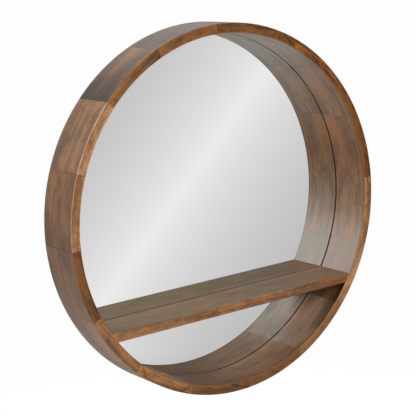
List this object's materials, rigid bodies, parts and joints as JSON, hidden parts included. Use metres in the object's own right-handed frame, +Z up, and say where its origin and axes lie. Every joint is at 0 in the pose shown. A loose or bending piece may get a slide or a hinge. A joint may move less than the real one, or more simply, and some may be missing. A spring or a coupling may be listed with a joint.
{
  "type": "round wall mirror with shelf",
  "caption": "Round wall mirror set deep in a frame of glued wooden staves, with a wooden shelf across its lower part and swinging D-rings on its back.",
  "frame": {"origin": "middle of the box round the whole mirror: on the frame's axis, halfway from its front face to the bumpers' faces", "axes": "+Z up, normal to the shelf's top; the mirror faces -Y, and +Y points at the wall"},
  "size_m": [0.762, 0.107, 0.762],
  "materials": {
    "wood_light": "straight-grained solid wood, honey-brown stain, satin lacquer",
    "wood_mid": "straight-grained solid wood, walnut-brown stain, satin lacquer",
    "wood_dark": "straight-grained solid wood, dark red-brown stain, satin lacquer",
    "wood_shelf": "solid wood board, grey-brown stain, satin lacquer",
    "dowel_wood": "plain hardwood dowel, unfinished",
    "fibreboard": "bare fibreboard, matt",
    "foam_tape": "dark foam glazing tape, matt",
    "mirror_glass": "silvered float glass, polished",
    "zinc_steel": "zinc-plated steel, dull bright",
    "bumper_rubber": "soft black rubber, matt"
  },
  "bodies": {
    "root": {"stave_01": "wood_dark", "stave_02": "wood_mid", "stave_03": "wood_mid", "stave_04": "wood_mid", "stave_05": "wood_mid", "stave_06": "wood_dark", "stave_07": "wood_mid", "stave_08": "wood_light", "stave_09": "wood_mid", "stave_10": "wood_light", "stave_11": "wood_light", "stave_12": "wood_dark", "stave_13": "wood_dark", "stave_14": "wood_light", "stave_15": "wood_light", "stave_16": "wood_light", "stave_dowels": "dowel_wood", "shelf_board": "wood_shelf", "shelf_dowels": "dowel_wood", "glazing_tape": "foam_tape", "mirror_pane": "mirror_glass", "backing_board": "fibreboard", "board_screws": "zinc_steel", "hanger_strap_left": "zinc_steel", "hanger_strap_right": "zinc_steel", "hanger_screws": "zinc_steel", "wall_bumper_left": "bumper_rubber", "wall_bumper_right": "bumper_rubber"},
    "d_ring_left": {"d_ring_left": "zinc_steel"},
    "d_ring_right": {"d_ring_right": "zinc_steel"}
  },
  "joints": [
    {"name": "ring_left_swing", "type": "hinge", "parent": "root", "child": "d_ring_left", "pos_m": [-0.32129, 0.05085, 0.1855], "axis": [0.866, 0, -0.5], "range_deg": [0, 180]},
    {"name": "ring_right_swing", "type": "hinge", "parent": "root", "child": "d_ring_right", "pos_m": [0.32129, 0.05085, 0.1855], "axis": [0.866, 0, 0.5], "range_deg": [0, 180]}
  ]
}
